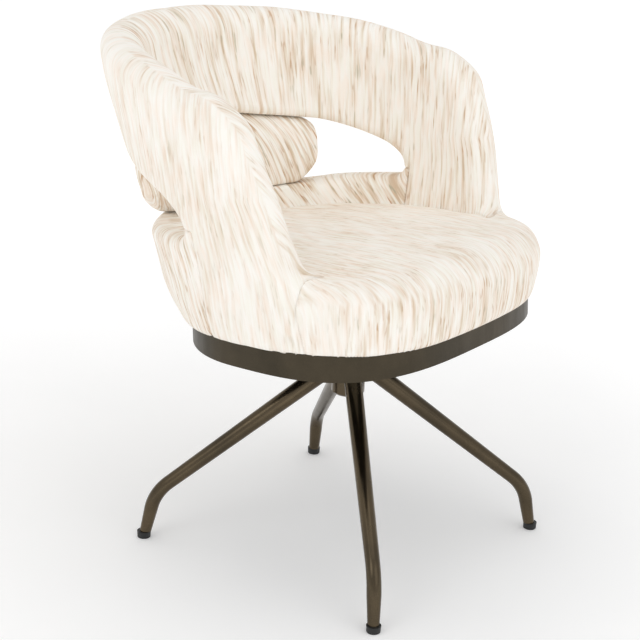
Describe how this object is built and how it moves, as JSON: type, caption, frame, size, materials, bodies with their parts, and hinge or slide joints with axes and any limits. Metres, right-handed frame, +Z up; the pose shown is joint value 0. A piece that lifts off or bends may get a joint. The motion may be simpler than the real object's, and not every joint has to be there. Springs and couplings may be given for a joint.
{
  "type": "swivel dining chair",
  "caption": "Upholstered swivel dining chair: horseshoe back and arms with a cut-out and lumbar pad, metal ring under the seat, bent tube legs.",
  "frame": {"origin": "on the floor, under the middle of the chair's overall box; the swivel axis is vertical, 92.4 mm in front of it", "axes": "+Z up, -Y the way the sitter faces, +X to the sitter's left"},
  "size_m": [0.6328, 0.6399, 0.7677],
  "materials": {
    "leg_metal": "satin dark bronze metallic coat",
    "ring_metal": "satin dark bronze metallic coat",
    "glide_plastic": "matt black",
    "bush_plastic": "matt black",
    "zinc_steel": "zinc plated",
    "frame_steel": "black coat",
    "plywood": "bare plywood",
    "cover_cloth": "black non-woven cloth",
    "upholstery": "woven cream fabric with fine streaks over foam"
  },
  "bodies": {
    "base": {"hub_housing": "leg_metal", "leg_front_left": "leg_metal", "leg_front_right": "leg_metal", "leg_rear_left": "leg_metal", "leg_rear_right": "leg_metal", "glide_front_left": "glide_plastic", "glide_front_right": "glide_plastic", "glide_rear_left": "glide_plastic", "glide_rear_right": "glide_plastic", "upper_bush": "bush_plastic", "lower_bush": "bush_plastic", "thrust_ring": "zinc_steel", "hub_cap": "bush_plastic"},
    "seat": {"swivel_spindle": "zinc_steel", "retaining_washer": "zinc_steel", "retaining_bolt": "zinc_steel", "swivel_plate": "zinc_steel", "plate_bolts": "zinc_steel", "plate_washers": "zinc_steel", "tee_nuts": "zinc_steel", "base_ring": "ring_metal", "ring_screws": "zinc_steel", "frame_rail": "frame_steel", "arm_post_left": "frame_steel", "arm_post_right": "frame_steel", "back_post_left": "frame_steel", "back_post_right": "frame_steel", "frame_screws": "zinc_steel", "seat_board": "plywood", "dust_cover": "cover_cloth", "arm_left": "upholstery", "arm_right": "upholstery", "back_band": "upholstery", "rear_rim": "upholstery", "seat_cushion": "upholstery", "lumbar_pad": "upholstery"}
  },
  "joints": [
    {"name": "seat_swivel", "type": "hinge", "parent": "base", "child": "seat", "pos_m": [0, -0.0924, 0.3], "axis": [0, 0, 1], "continuous": true}
  ]
}
